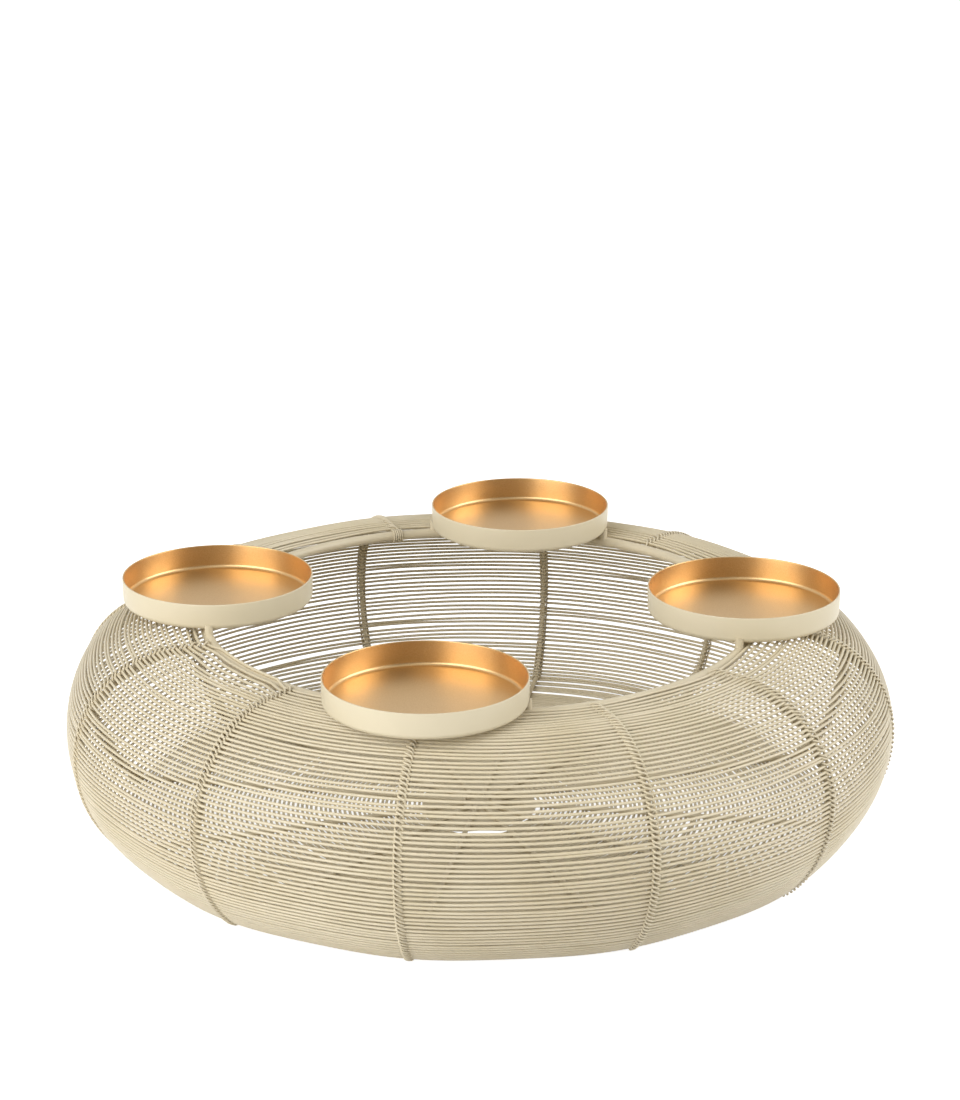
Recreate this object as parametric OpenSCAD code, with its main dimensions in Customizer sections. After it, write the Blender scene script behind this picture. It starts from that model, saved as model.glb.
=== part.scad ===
// Advent candle holder: a shallow hollow bowl of wound steel wire with a wide round mouth.
// The wire is lashed to bent ribs that spring from a disc in the floor. A top ring closes
// the mouth, and four shallow candle plates stand on it on short posts.
// Z is up, the bowl stands on z = 0, and the photographed front is -Y.

/* [Shell] */
// Outer diameter of the wound shell
shell_d = 400; // [390:1:410]
// Radius of the shoulder, from the widest turn up to the crown
shoulder_r = 50; // [47:0.5:53]
// Radius of the belly, from the widest turn down
belly_r = 64; // [56:0.5:72]
// Angle of the belly before the heel takes over, in degrees
belly_sweep = 47; // [42:1:52]
// Radius of the heel, where the wall turns into the floor
heel_r = 16; // [13:0.5:20]
// Width of the level crown, from the first turn out to the shoulder
crown_w = 14.1; // [12:0.1:17]
// Thickness of the winding wire, and so of the wall
wire_d = 1.4; // [1.2:0.05:1.5]

/* [Ring and ribs] */
// Thickness of the top ring's rod
ring_rod_d = 5; // [4.5:0.25:6]
// Number of ribs
rib_count = 12; // [8:1:12]
// Compass angle of the first rib from the front, in degrees
first_rib_angle = -10; // [-12:1:-8]
// Thickness of a rib
rib_d = 2.4; // [2:0.1:3]
// Thickness of the wire that lashes the turns to a rib
lash_d = 1; // [0.8:0.05:1.1]
// Width of a rib's lashing on the outside of the wall
lash_w = 4.4; // [4:0.2:5.4]
// Diameter of the disc in the floor that the ribs meet on
hub_d = 56; // [50:1:64]

/* [Candle plates] */
// Outer diameter of a candle plate
plate_d = 92; // [86:1:98]
// Height of a candle plate
plate_h = 12.5; // [10:0.5:16]
// Sheet thickness of a candle plate
plate_sheet = 0.8; // [0.6:0.1:1.2]
// Outer radius of the rounded edge between a plate's wall and its floor
plate_corner_r = 2.6; // [2:0.1:3.5]
// Gap between a plate's underside and the crown of the wall
plate_gap = 1.6; // [1.5:0.1:5]
// Thickness of the posts under a plate
post_d = 4; // [3:0.25:4.25]

/* [Hidden] */
$fn = 64;
rod_fn = 16;
enamel_colour = "#DDD3B7";
gilt_colour = "#C98F45";

// Clearances: a rib and a lashing to the turns between them, the first turn to the ring,
// and the last turn to the hub disc
rib_clear = 0.1;
lash_clear = 0.15;
ring_clear = 1;
hub_clear = 1.2;

// Longest straight step in a curved outline
outline_step = 2.5;

// Each plate's compass angle from the front, as photographed, and the share of its
// diameter by which its middle lies inside the ring
PLATES = ["front", "right", "back", "left"];
plate_angles = [-10.5, 87, 170.5, 264.5];
plate_set_in_shares = [0.023, 0.051, 0.028, 0.046];

// How far each rib stands past its even place round the bowl, as photographed, in degrees
rib_strays = [0, 2.4, 2.4, 0, 0, 0.9, -0.4, -0.9, 0, 0, 0, 1.3];
function rib_angle(i) = first_rib_angle + i * 360 / rib_count + rib_strays[i];

// The wall's section is the path of the wire's middle in the plane of radius and height:
// level out from the mouth, over the shoulder, down the belly and round the heel
arc = PI / 180;
foot_z = wire_d / 2;
wall_r = (shell_d - wire_d) / 2;
shoulder_c = wall_r - shoulder_r;
belly_c = wall_r - belly_r;
widest_z = foot_z + heel_r + (belly_r - heel_r) * sin(belly_sweep);
heel_c = belly_c + (belly_r - heel_r) * cos(belly_sweep);
heel_z = foot_z + heel_r;
crown_z = widest_z + shoulder_r;

// The ribs lie inside the wall and aim at the ring's middle, and the first turn lies
// round the ring's outer side
mouth_r = shoulder_c - crown_w;
rib_inset = (wire_d + rib_d) / 2 + rib_clear;
ring_z = crown_z - rib_inset;
ring_gap = (ring_rod_d + wire_d) / 2 + ring_clear;
ring_r = mouth_r - sqrt(ring_gap * ring_gap - rib_inset * rib_inset);

// Lengths along the section to the end of each of its pieces
shoulder_end = crown_w + shoulder_r * 90 * arc;
belly_end = shoulder_end + belly_r * belly_sweep * arc;
heel_end = belly_end + heel_r * (90 - belly_sweep) * arc;

// The wall is drawn in bands. The crown band ends at this slope of the shoulder.
crown_slope = 45;
crown_end = crown_w + shoulder_r * (90 - crown_slope) * arc;

function polar(r, a) = [r * cos(a), r * sin(a)];

// Slope of the outward normal at length s along the section: 90 is up and -90 down
function normal_at(s) =
    s < crown_w ? 90
    : s < shoulder_end ? (shoulder_end - s) / shoulder_r / arc
    : s < belly_end ? (shoulder_end - s) / belly_r / arc
    : (belly_end - s) / heel_r / arc - belly_sweep;

// Radius and height of the point at length s along the section, and so far outside it
function section_at(s, out = 0) =
    s < crown_w ? [mouth_r + s, crown_z + out]
    : s < shoulder_end ? [shoulder_c, widest_z] + polar(shoulder_r + out, normal_at(s))
    : s < belly_end ? [belly_c, widest_z] + polar(belly_r + out, normal_at(s))
    : [heel_c, heel_z] + polar(heel_r + out, normal_at(s));

// Outline of a strip that follows the section between two lengths along it
function strip(from, to, inner, outer) =
    let (steps = ceil((to - from) / outline_step), step = (to - from) / steps)
    concat(
        [for (k = [0 : steps]) section_at(from + k * step, outer)],
        [for (k = [steps : -1 : 0]) section_at(from + k * step, inner)]
    );

// A rib butts on the ring's rod, and ends on the hub disc just clear of its neighbours
rib_joint_d = rib_d + rib_clear;
rib_end_gap = rib_d / 2;
rib_end_r = (rib_d + rib_end_gap) / 2 / tan(180 / rib_count);
hub_t = foot_z + rib_inset - rib_d / 2;

// A lashing lies over the turns from the first one to just above the foot of the heel
lash_in = wire_d / 2 + lash_clear;
lash_foot_angle = asin((heel_z - lash_clear) / (heel_r + lash_in + lash_d));
lash_to = belly_end + heel_r * (lash_foot_angle - belly_sweep) * arc;

plate_z = crown_z + wire_d / 2 + plate_gap;
rim_r = plate_sheet / 2;
wall_h = plate_h - rim_r;

// Distance of a plate's middle from the axis
function plate_reach(i) = ring_r - plate_set_in_shares[i] * plate_d;

// Plates stand on pairs of posts, where the ring comes out from under the plate's edge.
// A post's middle lies so far from the plate's, and so far round the ring from it.
post_reach = (plate_d - post_d / 2) / 2;
function post_lean(i) =
    let (r = plate_reach(i))
    acos((r * r + ring_r * ring_r - post_reach * post_reach) / 2 / r / ring_r);

RIBS = [for (i = [1 : rib_count]) str(i < 10 ? "0" : "", i)];

// Turns what is drawn along +X to a compass angle from the front
module at_compass(compass) {
    rotate([0, 0, compass - 90])
        children();
}

// A ring of round rod about the Z axis, or a part of one
module rod_ring(r, d, angle = 360) {
    rotate_extrude(angle = angle)
        translate([r, 0])
            circle(d = d, $fn = rod_fn);
}

// The turns of one band of the wall, as the plain wall that they make together
module band(from, to) {
    color(enamel_colour)
        rotate_extrude()
            polygon(strip(from, to, -wire_d / 2, wire_d / 2));
}

module crown_winding() {
    band(-wire_d / 2, crown_end);
}

module shoulder_winding() {
    band(crown_end, shoulder_end);
}

module belly_winding() {
    band(shoulder_end, heel_end);
}

module floor_winding() {
    inner_r = hub_d / 2 + hub_clear;
    color(enamel_colour)
        rotate_extrude()
            translate([inner_r, 0])
                square([heel_c - inner_r, wire_d]);
}

module top_ring() {
    color(enamel_colour)
        translate([0, 0, ring_z])
            rod_ring(ring_r, ring_rod_d);
}

// The disc lies level with the floor's turns, under the ribs
module hub_disc() {
    color(enamel_colour)
        cylinder(d = hub_d, h = hub_t);
}

// Part of a rib: an arc in the upright plane through +X, from one slope down to another
module rib_bend(middle, r, from, to) {
    translate([middle[0], 0, middle[1]])
        rotate([90, 0, 0])
            rotate([0, 0, to])
                rod_ring(r - rib_inset, rib_d, from - to);
}

// Part of a rib: a straight length along +X
module rib_straight(from_r, to_r, z) {
    translate([from_r, 0, z])
        rotate([0, 90, 0])
            cylinder(d = rib_d, h = to_r - from_r, $fn = rod_fn);
}

module rib(i) {
    color(enamel_colour)
        at_compass(rib_angle(i)) {
            rib_straight(ring_r + ring_rod_d / 2, shoulder_c, ring_z);
            rib_bend([shoulder_c, widest_z], shoulder_r, 90, 0);
            rib_bend([belly_c, widest_z], belly_r, 0, -belly_sweep);
            rib_bend([heel_c, heel_z], heel_r, -belly_sweep, -90);
            rib_straight(rib_end_r, heel_c, foot_z + rib_inset);
            for (s = [crown_w, shoulder_end, belly_end, heel_end])
                let (p = section_at(s, -rib_inset))
                    translate([p[0], 0, p[1]])
                        sphere(d = rib_joint_d, $fn = rod_fn);
        }
}

// The lashing of one rib, as the plain strip that its strands make on the outside
module lashing(i) {
    color(enamel_colour)
        at_compass(rib_angle(i))
            rotate([90, 0, 0])
                linear_extrude(height = lash_w, center = true)
                    polygon(strip(-wire_d / 2, lash_to, lash_in, lash_in + lash_d));
}

// Half of a plate's outline, from its axis out, with a round between floor and wall
module plate_outline(r, corner_r, h) {
    square([r - corner_r, h]);
    translate([0, corner_r])
        square([r, h - corner_r]);
    translate([r - corner_r, corner_r])
        circle(r = corner_r);
}

// Puts what is drawn about the Z axis in a plate's place
module at_plate(i) {
    at_compass(plate_angles[i])
        translate([plate_reach(i), 0, plate_z])
            children();
}

module candle_plate(i) {
    color(gilt_colour)
        at_plate(i)
            rotate_extrude() {
                difference() {
                    plate_outline(plate_d / 2, plate_corner_r, wall_h);
                    translate([0, plate_sheet])
                        plate_outline(plate_d / 2 - plate_sheet, plate_corner_r - plate_sheet, plate_h);
                }
                translate([plate_d / 2 - rim_r, wall_h])
                    circle(r = rim_r);
            }
}

// Two short rods saddled on the ring, up to the round of the plate's edge
module plate_posts(i) {
    color(enamel_colour)
        difference() {
            for (side = [-1, 1])
                at_compass(plate_angles[i] + side * post_lean(i))
                    translate([ring_r, 0, ring_z])
                        cylinder(d = post_d, h = plate_z + plate_corner_r - ring_z);
            top_ring();
            at_plate(i)
                rotate_extrude()
                    plate_outline(plate_d / 2, plate_corner_r, wall_h);
        }
}

crown_winding();
shoulder_winding();
belly_winding();
floor_winding();
top_ring();
hub_disc();
for (i = [0 : rib_count - 1]) {
    rib(i);
    lashing(i);
}
for (i = [0 : len(PLATES) - 1]) {
    candle_plate(i);
    plate_posts(i);
}
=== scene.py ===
"""Advent candle holder: a bowl of wound enamelled wire with four gold-lined candle plates."""
import math

import bmesh
import bpy
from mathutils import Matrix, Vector, noise


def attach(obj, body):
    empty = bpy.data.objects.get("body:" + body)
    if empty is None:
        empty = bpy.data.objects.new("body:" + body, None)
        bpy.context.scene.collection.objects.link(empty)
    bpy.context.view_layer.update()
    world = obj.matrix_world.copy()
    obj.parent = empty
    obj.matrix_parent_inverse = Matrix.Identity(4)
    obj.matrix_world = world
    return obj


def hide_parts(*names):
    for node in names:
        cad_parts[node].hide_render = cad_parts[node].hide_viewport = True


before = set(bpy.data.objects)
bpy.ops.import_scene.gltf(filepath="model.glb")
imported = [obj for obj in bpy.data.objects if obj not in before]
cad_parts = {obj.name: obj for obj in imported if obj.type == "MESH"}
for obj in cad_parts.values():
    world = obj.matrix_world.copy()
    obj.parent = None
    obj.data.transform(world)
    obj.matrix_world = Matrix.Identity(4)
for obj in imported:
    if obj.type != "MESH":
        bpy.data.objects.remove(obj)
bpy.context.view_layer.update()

MM = 0.001


# The bowl's own sizes, in millimetres, as its frame has them

SHELL_D = 400.0
WIRE = 1.4
# How far apart the turns lie, down the wall and on the level crown
PITCH = 2.3
CROWN_PITCH = 3.1
# The compass angle where the first turn starts
START = -70.0
RIB = 2.4
RIB_GAP = 0.1
RIBS = 12
FIRST_RIB = -10.0
# How far each rib stands past its even place round the bowl, in degrees
RIB_STRAYS = (0.0, 2.4, 2.4, 0.0, 0.0, 0.9, -0.4, -0.9, 0.0, 0.0, 0.0, 1.3)
RING_ROD = 5.0
RING_GAP = 1.0
HUB_R = 28.0
HUB_GAP = 0.2

# The bowl's section, from the level crown round the shoulder, the belly and the heel
CROWN_LEN = 14.1
SHOULDER_R = 50.0
BELLY_R = 64.0
HEEL_R = 16.0
CROWN_SWEEP = math.radians(45)
BELLY_SWEEP = math.radians(47)

# The section's centres and heights, for the middle of the wire
WALL_R = (SHELL_D - WIRE) / 2
FOOT_Z = WIRE / 2
SHOULDER_C = WALL_R - SHOULDER_R
BELLY_C = WALL_R - BELLY_R
WIDEST_Z = FOOT_Z + HEEL_R + (BELLY_R - HEEL_R) * math.sin(BELLY_SWEEP)
HEEL_C = BELLY_C + (BELLY_R - HEEL_R) * math.cos(BELLY_SWEEP)
HEEL_Z = FOOT_Z + HEEL_R
CROWN_Z = WIDEST_Z + SHOULDER_R
MOUTH_R = SHOULDER_C - CROWN_LEN

# The top ring lies level with the ribs, beside the first turn
RIB_INSET = (WIRE + RIB) / 2 + RIB_GAP
RING_Z = CROWN_Z - RIB_INSET
RING_R = MOUTH_R - math.sqrt(((RING_ROD + WIRE) / 2 + RING_GAP) ** 2 - RIB_INSET ** 2)

# Lengths along the bowl's section, from the first turn to the end of each piece of it
CROWN_END = CROWN_LEN + SHOULDER_R * CROWN_SWEEP
SHOULDER_END = CROWN_LEN + SHOULDER_R * math.pi / 2
BELLY_END = SHOULDER_END + BELLY_R * BELLY_SWEEP
HEEL_END = BELLY_END + HEEL_R * (math.pi / 2 - BELLY_SWEEP)
FLOOR_END = HEEL_END + HEEL_C - HUB_R - HUB_GAP - WIRE / 2


def slope_at(s):
    """Slope of the outward normal at a length along the section, in radians."""
    if s < CROWN_LEN:
        return math.pi / 2
    if s < SHOULDER_END:
        return (SHOULDER_END - s) / SHOULDER_R
    if s < BELLY_END:
        return (SHOULDER_END - s) / BELLY_R
    if s < HEEL_END:
        return (BELLY_END - s) / HEEL_R - BELLY_SWEEP
    return -math.pi / 2


def section_at(s, inset=0.0):
    """Radius and height at a length along the section, this far in from the wire's middle."""
    a = slope_at(s)
    if s < CROWN_LEN:
        return MOUTH_R + s, CROWN_Z - inset
    if s < SHOULDER_END:
        r, z, bend = SHOULDER_C, WIDEST_Z, SHOULDER_R
    elif s < BELLY_END:
        r, z, bend = BELLY_C, WIDEST_Z, BELLY_R
    elif s < HEEL_END:
        r, z, bend = HEEL_C, HEEL_Z, HEEL_R
    else:
        return HEEL_C + HEEL_END - s, FOOT_Z + inset
    return r + (bend - inset) * math.cos(a), z + (bend - inset) * math.sin(a)


def place(r, z, compass):
    """A point at a radius, a height and a compass angle, in metres. The angle is in degrees
    from the front, towards the viewer's right."""
    a = math.radians(compass)
    return Vector((r * math.sin(a), -r * math.cos(a), z)) * MM


# Materials

def linear(hex_colour):
    """An sRGB hex colour as the linear values that a shader takes."""
    out = []
    for i in (1, 3, 5):
        c = int(hex_colour[i:i + 2], 16) / 255
        out.append(c / 12.92 if c <= 0.04045 else ((c + 0.055) / 1.055) ** 2.4)
    return (*out, 1.0)


def add(tree, kind, settings=None, links=None):
    """Adds a node with its settings, and links its inputs to other nodes' outputs. An input
    goes by its name, or by its number where several share a name."""
    node = tree.nodes.new(kind)
    for key, value in (settings or {}).items():
        if isinstance(key, int) or key in node.inputs:
            node.inputs[key].default_value = value
        else:
            setattr(node, key, value)
    for key, source in (links or {}).items():
        tree.links.new(source, node.inputs[key])
    return node


def set_tones(ramp, *tones):
    """Gives a colour ramp its two tones: the place and the hex colour of each."""
    for stop, (where, hex_colour) in zip(ramp.color_ramp.elements, tones):
        stop.position = where
        stop.color = linear(hex_colour)


def new_material(name):
    """An empty material and its tree of nodes."""
    material = bpy.data.materials.new(name)
    material.use_nodes = True
    tree = material.node_tree
    tree.nodes.clear()
    return material, tree


def per_metre(size_mm):
    """A noise scale that gives spots of about this size."""
    return 1.0 / (size_mm * MM)


# Real orange peel is about 0.6 mm across, drawn this coarse to show at all
PEEL = 1.2
# How far over the sheet a pooled coat keeps its tone
POOL = 30
# How far the coat's roughness drifts to either side
GLOSS_DRIFT = 0.04


def enamelled_steel(name, colour, shade, roughness):
    """Steel wire and sheet under a baked cream enamel. The eye sees an even satin coat, with
    a slow drift of tone where the coat pooled, and the faint orange peel of a sprayed film."""
    material, tree = new_material(name)
    spot = add(tree, "ShaderNodeTexCoord").outputs["Object"]
    drift = add(tree, "ShaderNodeTexNoise", {"Scale": per_metre(POOL), "Detail": 3.0},
                {"Vector": spot})
    tone = add(tree, "ShaderNodeValToRGB", None, {"Fac": drift.outputs["Fac"]})
    set_tones(tone, (0.35, shade), (0.65, colour))
    peel = add(tree, "ShaderNodeTexNoise", {"Scale": per_metre(PEEL), "Detail": 2.0},
               {"Vector": spot})
    bump = add(tree, "ShaderNodeBump", {"Strength": 0.05, "Distance": 0.1 * MM},
               {"Height": peel.outputs["Fac"]})
    gloss = add(tree, "ShaderNodeMapRange",
                {"To Min": roughness - GLOSS_DRIFT, "To Max": roughness + GLOSS_DRIFT},
                {"Value": drift.outputs["Fac"]})
    coat = add(tree, "ShaderNodeBsdfPrincipled", {"IOR": 1.5},
               {"Base Color": tone.outputs["Color"], "Roughness": gloss.outputs["Result"],
                "Normal": bump.outputs["Normal"]})
    add(tree, "ShaderNodeOutputMaterial", None, {"Surface": coat.outputs["BSDF"]})
    return material


# Real bronze flakes are under 0.1 mm, drawn this coarse so that the sparkle shows
FLAKE = 0.35
# How far over the lining its gloss stays alike
CLOUD = 14


def gold_lacquer(name):
    """Pressed sheet sprayed inside with a warm gold bronze lacquer. The eye sees a satin
    metal with a fine sparkle, because the bronze flakes lie a little out of true."""
    material, tree = new_material(name)
    spot = add(tree, "ShaderNodeTexCoord").outputs["Object"]
    flake = add(tree, "ShaderNodeTexNoise", {"Scale": per_metre(FLAKE), "Detail": 1.0},
                {"Vector": spot})
    cloud = add(tree, "ShaderNodeTexNoise", {"Scale": per_metre(CLOUD), "Detail": 2.0},
                {"Vector": spot})
    tone = add(tree, "ShaderNodeValToRGB", None, {"Fac": flake.outputs["Fac"]})
    set_tones(tone, (0.3, "#D0AA74"), (0.7, "#DFBD88"))
    gloss = add(tree, "ShaderNodeMapRange", {"To Min": 0.31, "To Max": 0.39},
                {"Value": cloud.outputs["Fac"]})
    bump = add(tree, "ShaderNodeBump", {"Strength": 0.10, "Distance": 0.05 * MM},
               {"Height": flake.outputs["Fac"]})
    lacquer = add(tree, "ShaderNodeBsdfPrincipled",
                  {"Metallic": 1.0, "Coat Weight": 0.3, "Coat Roughness": 0.45},
                  {"Base Color": tone.outputs["Color"], "Roughness": gloss.outputs["Result"],
                   "Normal": bump.outputs["Normal"]})
    add(tree, "ShaderNodeOutputMaterial", None, {"Surface": lacquer.outputs["BSDF"]})
    return material


wire_enamel = enamelled_steel("cream_enamel_on_wire", "#DCD0B4", "#D5C8A9", 0.34)
rod_enamel = enamelled_steel("cream_enamel_on_rod", "#D9CDB1", "#D2C5A8", 0.40)
sheet_enamel = enamelled_steel("cream_enamel_on_sheet", "#DDD1B4", "#DACEB0", 0.38)
gold_lining = gold_lacquer("gold_bronze_lacquer")


# Pieces

def keep(piece, slot, *nodes):
    """Puts a finished piece on the frame in place of its plain solids."""
    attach(piece, "root")
    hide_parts(*nodes)


def wire_curve(name, runs, thick, material, sides):
    """Round wire along one or more runs of points."""
    curve = bpy.data.curves.new(name, "CURVE")
    curve.dimensions = "3D"
    curve.bevel_depth = thick * MM / 2
    curve.bevel_resolution = (sides - 4) // 2
    curve.use_fill_caps = True
    for points in runs:
        spline = curve.splines.new("POLY")
        spline.points.add(len(points) - 1)
        spline.points.foreach_set("co", [c for p in points for c in (*p, 1.0)])
        spline.use_smooth = True
    piece = bpy.data.objects.new(name, curve)
    bpy.context.scene.collection.objects.link(piece)
    curve.materials.append(material)
    return piece


# The winding: one wire, drawn as the frame's four bands that meet end to end

def length_at(turn):
    """How far down the section the wire has come after so many turns."""
    crown_turns = CROWN_LEN / CROWN_PITCH
    if turn < crown_turns:
        return turn * CROWN_PITCH
    return CROWN_LEN + (turn - crown_turns) * PITCH


def turns_at(s):
    """How many turns the wire has made by this length down the section."""
    if s < CROWN_LEN:
        return s / CROWN_PITCH
    return CROWN_LEN / CROWN_PITCH + (s - CROWN_LEN) / PITCH


# Hand winding strays in slow bends and in quick ones. Each has its noise scale round the bowl,
# its step in the noise from turn to turn, and its size in millimetres. The slow bends' peaks
# are drawn out further.
SLOW_BENDS = 2.2
SLOW_STEP = 0.83
SLOW_STRAY = 0.30
PEAK_STRAY = 1.8
QUICK_BENDS = 7.0
QUICK_STEP = 0.71
QUICK_STRAY = 0.12
# Keeps the quick bends in another part of the noise
QUICK_OFFSET = 9


def wander(turn, compass):
    """How far a turn strays along the section, in millimetres, as hand winding leaves it:
    a little nearly everywhere, and here and there so much that two turns touch."""
    a = math.radians(compass)
    slow = noise.noise(Vector((SLOW_BENDS * math.sin(a), SLOW_BENDS * math.cos(a),
                               SLOW_STEP * turn)))
    quick = noise.noise(Vector((QUICK_BENDS * math.sin(a) + QUICK_OFFSET,
                                QUICK_BENDS * math.cos(a), QUICK_STEP * turn)))
    return SLOW_STRAY * slow + PEAK_STRAY * slow ** 3 + QUICK_STRAY * quick


# How far a turn is drawn in halfway between two ribs: at the mouth, and how much more at the
# widest turn. Then the lengths over which it starts at the mouth and stops in the floor.
SLACK_TOP = 0.3
SLACK_MORE = 0.5
SLACK_START = 20.0
SLACK_STOP = 15.0


def slack(s, compass):
    """How far a turn is drawn in between two ribs, in millimetres."""
    across = math.radians((compass - FIRST_RIB) * RIBS)
    strain = SLACK_TOP + SLACK_MORE * min(s / SHOULDER_END, 1.0)
    fade = min(s / SLACK_START, 1.0, max((HEEL_END + SLACK_STOP - s) / SLACK_STOP, 0.0))
    return strain * fade * (1 - math.cos(across)) / 2


# How far from the axis two turns of the floor stand apart at the hub's front
HUB_PARTING_R = 35.3

# Places at the foot where two turns stand apart: where it is down the section, its compass
# angle, how far it reaches to either side of that in degrees, how far a turn is pushed, and
# the length over which the push fades. The wire passes from the one turn to the other on the
# opposite side of the bowl.
PARTINGS = [
    {"middle": HEEL_END + HEEL_C - HUB_PARTING_R, "compass": 2.0, "aside": 30.0,
     "push": 4.6, "fade": 4.0},
    {"middle": HEEL_END - 4.9, "compass": 163.0, "aside": 24.0, "push": 1.0, "fade": 4.0},
    {"middle": HEEL_END + 0.4, "compass": 163.0, "aside": 24.0, "push": 1.9, "fade": 5.0},
    {"middle": HEEL_END + 9.8, "compass": 166.0, "aside": 24.0, "push": 2.2, "fade": 6.0},
]


def parting(s, compass):
    """How far a turn is pushed aside by the partings, in millimetres."""
    pushed = 0.0
    for spot in PARTINGS:
        aside = abs((compass - spot["compass"] + 180.0) % 360.0 - 180.0)
        if aside < spot["aside"]:
            past_start = (spot["compass"] + 180.0 - START) / 360.0 % 1.0
            off = s - length_at(round(turns_at(spot["middle"])) + past_start)
            push = spot["push"] * math.cos(math.radians(90.0 * aside / spot["aside"])) ** 2
            pushed += math.copysign(push * math.exp(-abs(off) / spot["fade"]), off)
    return pushed


# The bay between two ribs where the first turns lie on the ring, counted from 0 at the first
# rib. There they run in this far, over these shares of the bay at either end, and less and
# less over this length down the section.
RING_BAY = 10
RING_BAY_DRAW = 3.6
RING_BAY_IN = 0.2
RING_BAY_OUT = 0.12
RING_BAY_FADE = 11.0
# How far the first turns run in halfway along any other bay, and over what length
BAY_DRAW = 1.9
BAY_FADE = 7.0


def drawn_in(s, compass):
    """How far the first turns run in towards the ring between two ribs, in millimetres."""
    bay, across = divmod((compass - FIRST_RIB) % 360.0 * RIBS / 360.0, 1.0)
    if bay == RING_BAY:
        draw = RING_BAY_DRAW * min(across / RING_BAY_IN, (1.0 - across) / RING_BAY_OUT, 1.0)
        return draw / (1.0 + (s / RING_BAY_FADE) ** 3)
    return BAY_DRAW * math.exp(-(s / BAY_FADE) ** 2) * (1 - math.cos(2 * math.pi * across)) / 2


# The air between the ring's rod and a turn that lies on it
LIFT_CLEAR = 0.05


def lift(s):
    """How far a turn this far down the section has to rise to pass over the ring's rod."""
    beside = MOUTH_R + s - RING_R
    clear = (RING_ROD + WIRE) / 2 + LIFT_CLEAR
    if abs(beside) > clear:
        return 0.0
    return max(math.sqrt(clear ** 2 - beside ** 2) - RIB_INSET, 0.0)


# The wire's first stretch down the section lies true, and then it takes a length to stray in
# full. Past the belly it strays less, by this share, which also comes over a length.
TRUE_LEN = 0.5
STRAY_START = 4
FOOT_CALM = 0.4
CALM_START = 12.0


def wind_point(turn):
    """Where the wire's middle is, after so many turns."""
    s = length_at(turn)
    compass = START + 360.0 * turn
    stray = wander(turn, compass) * min(max((s - TRUE_LEN) / STRAY_START, 0.0), 1.0)
    stray *= 1.0 - FOOT_CALM * min(max((s - BELLY_END) / CALM_START, 0.0), 1.0)
    s = min(s + stray + parting(s, compass) - drawn_in(s, compass), FLOOR_END)
    r, z = section_at(s, slack(s, compass) - lift(s))
    return place(r, z, compass)


# The flats that the wire is drawn with round its section
WIRE_SIDES = 8


def winding(name, start, end, steps):
    """One band of the winding, in this many steps a turn."""
    first = turns_at(start)
    last = turns_at(end)
    count = round((last - first) * steps)
    run = [wind_point(first + (last - first) * i / count) for i in range(count + 1)]
    keep(wire_curve(name, [run], WIRE, wire_enamel, WIRE_SIDES), "enamel", name)


winding("crown_winding", start=0.0, end=CROWN_END, steps=216)
winding("shoulder_winding", start=CROWN_END, end=SHOULDER_END, steps=240)
winding("belly_winding", start=SHOULDER_END, end=HEEL_END, steps=240)
winding("floor_winding", start=HEEL_END, end=FLOOR_END, steps=144)


# The lashings: one strand a rib, a slanting wrap over each turn

# The lashing wire, the air between it and what it goes round, and its slack at the sides
LASH = 1.0
LASH_CLEAR = 0.06
LASH_EASE = 0.1
# A wrap's middle below the wall's, and how far it goes to the side and to the outside
LASH_MIDDLE = (RIB_GAP + RIB) / 2
LASH_WIDE = (RIB + LASH) / 2 + LASH_EASE
LASH_DEEP = (WIRE + LASH) / 2 + LASH_MIDDLE + LASH_CLEAR
# The steps in one wrap, and the flats round its wire
LASH_STEPS = 16
LASH_SIDES = 6
# How far a strand leans over a turn, as a share of the turns' spacing
LASH_LEAN = 1.8
# How square a wrap is: 1 is round
LASH_ROUND = 0.6
# A strand stops where its outside, with a little to spare, comes this close to the table
TABLE_CLEAR = 0.15
FOOT_EASE = 0.2
LASH_OUTSIDE = HEEL_R + WIRE / 2 + LASH + FOOT_EASE
LASH_FOOT = math.asin((HEEL_Z - TABLE_CLEAR) / LASH_OUTSIDE)
LASH_END = BELLY_END + HEEL_R * (LASH_FOOT - BELLY_SWEEP)
# The rib at the back left whose lashing goes round the top ring too, counted from 0
WRAPPED_RIB = 7
RING_WRAPS = 5


def sideways(wide, compass):
    """A step to the side at a compass angle, in metres."""
    a = math.radians(compass)
    return Vector((math.cos(a), math.sin(a), 0.0)) * wide * MM


def squared(value):
    """A sine or cosine for a loop that is more square than round."""
    return math.copysign(abs(value) ** LASH_ROUND, value)


def lash_point(s, wide, deep, compass):
    """A point beside and over the winding's section, for a strand round a rib."""
    r, z = section_at(s, LASH_MIDDLE - deep)
    return place(r, z, compass) + sideways(wide, compass)


def lash_run(compass):
    """The points of the strand along the rib at a compass angle, one wrap after another."""
    lag = ((compass - START) % 360.0) / 360.0
    run = []
    for k in range(math.ceil(turns_at(LASH_END))):
        s = length_at(k + lag) + wander(k + lag, compass)
        if s > LASH_END:
            break
        drop = length_at(k + lag + 1) - length_at(k + lag)
        for step in range(LASH_STEPS):
            turn = 2 * math.pi * step / LASH_STEPS - math.pi / 2
            over = min(step / LASH_STEPS * 2, 1.0) - 0.5
            run.append(lash_point(s + LASH_LEAN * drop * over,
                                  LASH_WIDE * squared(math.sin(turn)),
                                  LASH_DEEP * squared(math.cos(turn)), compass))
    return run


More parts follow.
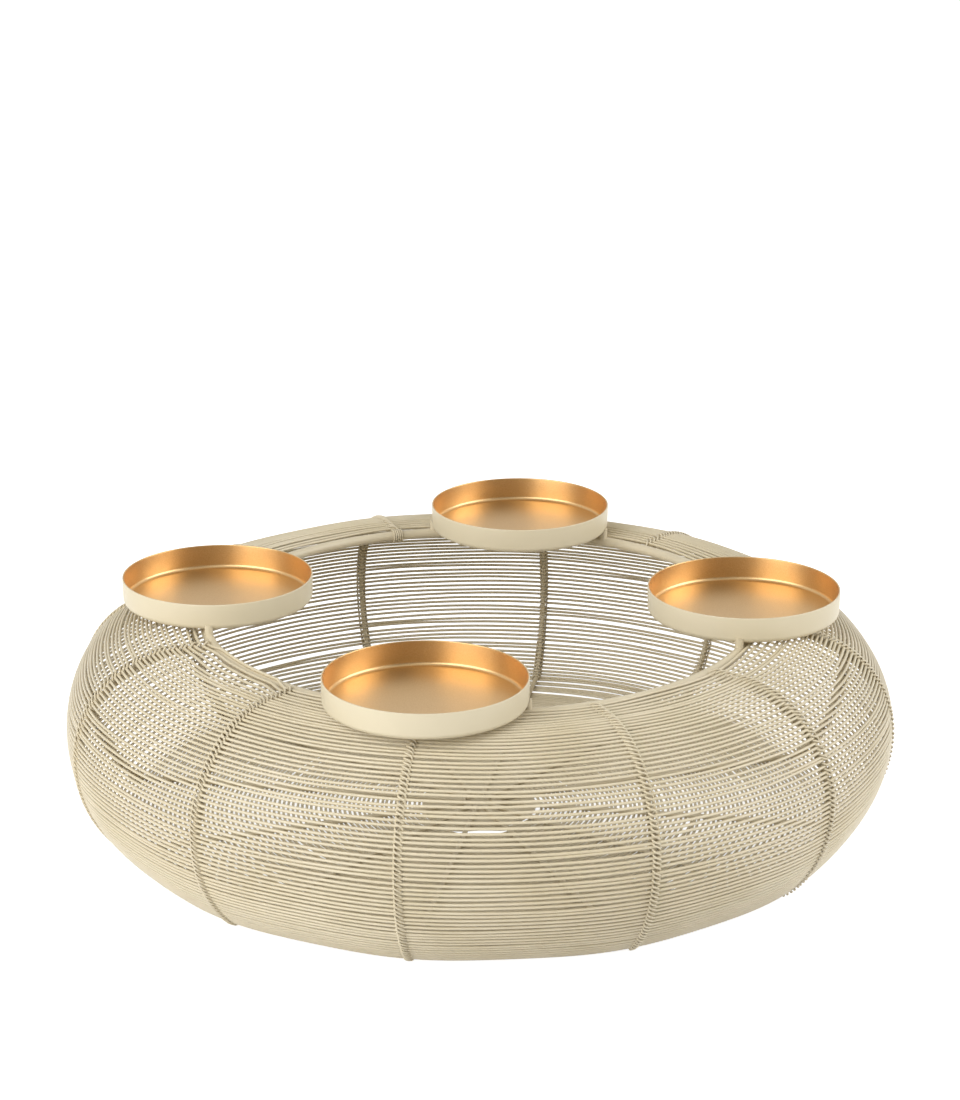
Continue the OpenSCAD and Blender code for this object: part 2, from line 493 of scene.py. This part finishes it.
def ring_wrap(compass, wide):
    """A wrap round the top ring's rod, this far beside a rib. It stops on the rib if the rib
    is in its way."""
    wrap_r = (RING_ROD + LASH) / 2 + LASH_CLEAR
    within = RIB ** 2 / 4 - wide ** 2
    stop = math.asin((math.sqrt(within) + LASH / 2) / wrap_r) if within > 0 else 0.0
    run = []
    for step in range(LASH_STEPS + 1):
        turn = stop + (2 * math.pi - 2 * stop) * step / LASH_STEPS
        run.append(place(RING_R + wrap_r * math.cos(turn), RING_Z + wrap_r * math.sin(turn),
                         compass) + sideways(wide, compass))
    return run


def lashing(number):
    """The strand along one rib, from the top ring to the foot of the heel."""
    compass = FIRST_RIB + number * 360.0 / RIBS + RIB_STRAYS[number]
    runs = [lash_run(compass)]
    if number == WRAPPED_RIB:
        for k in range(RING_WRAPS):
            runs.append(ring_wrap(compass, (LASH + LASH_CLEAR) * (k - RING_WRAPS // 2)))
    name = "lashing_%02d" % (number + 1)
    keep(wire_curve(name, runs, LASH, rod_enamel, LASH_SIDES), "enamel", name)


for number in range(RIBS):
    lashing(number)


# The candle plates

# Each plate's compass angle, and how far it lies inside the ring as a share of its diameter
PLATES = {"front": (-10.5, 0.023), "right": (87.0, 0.051),
          "back": (170.5, 0.028), "left": (264.5, 0.046)}
PLATE_R = 46.0
PLATE_H = 12.5
PLATE_SHEET = 0.8
# How much narrower the plate is at its floor than at its rim
PLATE_TAPER = 0.25
# The air between the crown's turns and a plate
PLATE_GAP = 1.6
PLATE_Z = CROWN_Z + WIRE / 2 + PLATE_GAP
# The steps round a plate
PLATE_SIDES = 160
# The rounds on the plate's edges, and the flats that each is drawn with
FOOT_ROUND = 2.6
LINING_ROUND = 1.8
FLOOR_FLATS = 8
RIM_ROUND = 0.36
RIM_FLATS = 4
# Points closer than this are one point, and an edge this near a corner is that corner's
SAME = 0.001 * MM
NEAR = 0.01 * MM
# A face leans up or inwards when its normal does by more than this
LEAN = 0.1


def edges_at(form, r, z):
    """The edges of a spun form that lie on the ring at a radius and a height."""
    return [e for e in form.edges if all(
        abs(v.co.xy.length - r * MM) < NEAR and abs(v.co.z - z * MM) < NEAR for v in e.verts)]


def plate(name, compass, set_in):
    """A pressed dish: one spun sheet with its edges rounded, gold inside and cream outside."""
    inner = PLATE_R - PLATE_SHEET
    foot = (PLATE_R - PLATE_TAPER, 0.0)
    rim = (PLATE_R, PLATE_H)
    lip = (inner, PLATE_H)
    lining = (inner - PLATE_TAPER, PLATE_SHEET)
    corners = [(0.0, 0.0), foot, rim, lip, lining, (0.0, PLATE_SHEET)]
    form = bmesh.new()
    points = [form.verts.new((r * MM, 0.0, z * MM)) for r, z in corners]
    edges = [form.edges.new(pair) for pair in zip(points[:-1], points[1:])]
    bmesh.ops.spin(form, geom=points + edges, cent=(0, 0, 0), axis=(0, 0, 1),
                   angle=2 * math.pi, steps=PLATE_SIDES, use_merge=True)
    bmesh.ops.remove_doubles(form, verts=form.verts, dist=SAME)
    for (r, z), radius, flats in ((foot, FOOT_ROUND, FLOOR_FLATS),
                                  (lining, LINING_ROUND, FLOOR_FLATS),
                                  (rim, RIM_ROUND, RIM_FLATS),
                                  (lip, RIM_ROUND, RIM_FLATS)):
        bmesh.ops.bevel(form, geom=edges_at(form, r, z), offset=radius * MM,
                        offset_type="OFFSET", affect="EDGES", segments=flats,
                        profile=0.5, material=-1)
    bmesh.ops.recalc_face_normals(form, faces=form.faces)
    for face in form.faces:
        middle = face.calc_center_median()
        inside = middle.xy.length < (PLATE_R - PLATE_SHEET / 2) * MM
        shows = face.normal.z > LEAN or face.normal.xy.dot(middle.xy.normalized()) < -LEAN
        face.material_index = 1 if inside and shows else 0
        face.smooth = True
    reach = RING_R - set_in * 2 * PLATE_R
    bmesh.ops.translate(form, verts=form.verts, vec=place(reach, PLATE_Z, compass))
    node = "candle_plate_" + name
    mesh = bpy.data.meshes.new(node)
    form.to_mesh(mesh)
    form.free()
    mesh.materials.append(sheet_enamel)
    mesh.materials.append(gold_lining)
    piece = bpy.data.objects.new(node, mesh)
    bpy.context.scene.collection.objects.link(piece)
    keep(piece, "gilt", node)


for name, (compass, set_in) in PLATES.items():
    plate(name, compass, set_in)


# The ring, the ribs, the hub disc and the posts, which keep their solids

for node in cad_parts.values():
    node.data.materials.clear()
    node.data.materials.append(rod_enamel)


# The studio, in metres

WHITE = linear("#FFFFFF")
# The floor's own grey under the lamps, as a linear value, and how white it is to the camera
PAPER = (0.7, 0.7, 0.7, 1.0)
PAPER_GLOW = 0.85
FLOOR_REACH = 6.0


def studio_floor():
    """A wide white sheet. The camera and the gloss see it white, and it keeps the shadow."""
    material, tree = new_material("studio_white")
    path = add(tree, "ShaderNodeLightPath")
    direct = add(tree, "ShaderNodeMath", {"operation": "MAXIMUM"},
                 {0: path.outputs["Is Camera Ray"], 1: path.outputs["Is Glossy Ray"]})
    seen = add(tree, "ShaderNodeMath", {"operation": "MAXIMUM"},
               {0: direct.outputs[0], 1: path.outputs["Is Transmission Ray"]})
    paper = add(tree, "ShaderNodeBsdfDiffuse", {"Color": PAPER})
    level = add(tree, "ShaderNodeMath", {"operation": "MULTIPLY", 1: PAPER_GLOW},
                {0: seen.outputs[0]})
    glow = add(tree, "ShaderNodeEmission", {"Color": WHITE}, {"Strength": level.outputs[0]})
    both = add(tree, "ShaderNodeAddShader", None, {0: paper.outputs[0], 1: glow.outputs[0]})
    add(tree, "ShaderNodeOutputMaterial", None, {"Surface": both.outputs[0]})
    form = bmesh.new()
    bmesh.ops.create_grid(form, x_segments=1, y_segments=1, size=FLOOR_REACH)
    mesh = bpy.data.meshes.new("studio_floor")
    form.to_mesh(mesh)
    form.free()
    mesh.materials.append(material)
    floor = bpy.data.objects.new("studio_floor", mesh)
    bpy.context.scene.collection.objects.link(floor)


# How bright the plain sky is, and the room before and behind the bowl as the gloss sees it,
# where 1 is white. The room changes between two directions, given by their y parts.
SKY = 0.33
ROOM_FRONT = 0.22
ROOM_BACK = 0.86
FRONT_Y = -0.6
BACK_Y = 0.2


def studio_world():
    """White for the camera. The gloss sees the white backdrop behind the bowl and a darker
    room in front of it, and the rest is a plain soft sky."""
    world = bpy.data.worlds.new("studio_world")
    world.use_nodes = True
    bpy.context.scene.world = world
    tree = world.node_tree
    tree.nodes.clear()
    path = add(tree, "ShaderNodeLightPath")
    way = add(tree, "ShaderNodeTexCoord").outputs["Generated"]
    depth = add(tree, "ShaderNodeSeparateXYZ", None, {"Vector": way}).outputs["Y"]
    room = add(tree, "ShaderNodeMapRange",
               {"From Min": FRONT_Y, "From Max": BACK_Y,
                "To Min": ROOM_FRONT - SKY, "To Max": ROOM_BACK - SKY},
               {"Value": depth})
    gloss = add(tree, "ShaderNodeMath", {"operation": "MULTIPLY"},
                {0: path.outputs["Is Glossy Ray"], 1: room.outputs["Result"]})
    light = add(tree, "ShaderNodeMath", {"operation": "ADD", 1: SKY}, {0: gloss.outputs[0]})
    seen = add(tree, "ShaderNodeMath", {"operation": "MAXIMUM"},
               {0: path.outputs["Is Camera Ray"], 1: path.outputs["Is Transmission Ray"]})
    level = add(tree, "ShaderNodeMath", {"operation": "MAXIMUM"},
                {0: light.outputs[0], 1: seen.outputs[0]})
    sky = add(tree, "ShaderNodeBackground", {"Color": WHITE}, {"Strength": level.outputs[0]})
    add(tree, "ShaderNodeOutputWorld", None, {"Surface": sky.outputs[0]})


# What the lamps point at, inside the bowl
LAMP_AIM = Vector((0, 0, 0.06))


def lamp(name, spot, power, size):
    """A square soft lamp that faces the bowl."""
    light = bpy.data.lights.new(name, "AREA")
    light.energy = power
    light.size = size
    piece = bpy.data.objects.new(name, light)
    piece.location = spot
    aim = LAMP_AIM - Vector(spot)
    piece.rotation_euler = aim.to_track_quat("-Z", "Y").to_euler()
    bpy.context.scene.collection.objects.link(piece)


# Where the camera stands, and how far it looks down, in degrees
CAMERA_SPOT = (0.00045, -1.32747, 0.57009)
CAMERA_DIP = 18.23


def studio_camera():
    """The camera at the photograph's viewing angle."""
    lens = bpy.data.cameras.new("camera")
    lens.sensor_fit = "HORIZONTAL"
    lens.sensor_width = 36.0
    lens.lens = 109.46
    lens.clip_end = 20.0
    camera = bpy.data.objects.new("camera", lens)
    camera.location = CAMERA_SPOT
    camera.rotation_euler = (math.radians(90 - CAMERA_DIP), 0.0, 0.0)
    bpy.context.scene.collection.objects.link(camera)
    bpy.context.scene.camera = camera


studio_floor()
studio_world()
lamp("soft_lamp_left", (-1.41, -1.27, 1.0), power=41.0, size=2.0)
lamp("soft_lamp_right", (1.85, -0.2, 1.0), power=26.0, size=1.5)
lamp("soft_lamp_front_top", (-0.2, -1.4, 1.7), power=4.0, size=1.2)
studio_camera()
bpy.context.scene.view_settings.view_transform = "Standard"
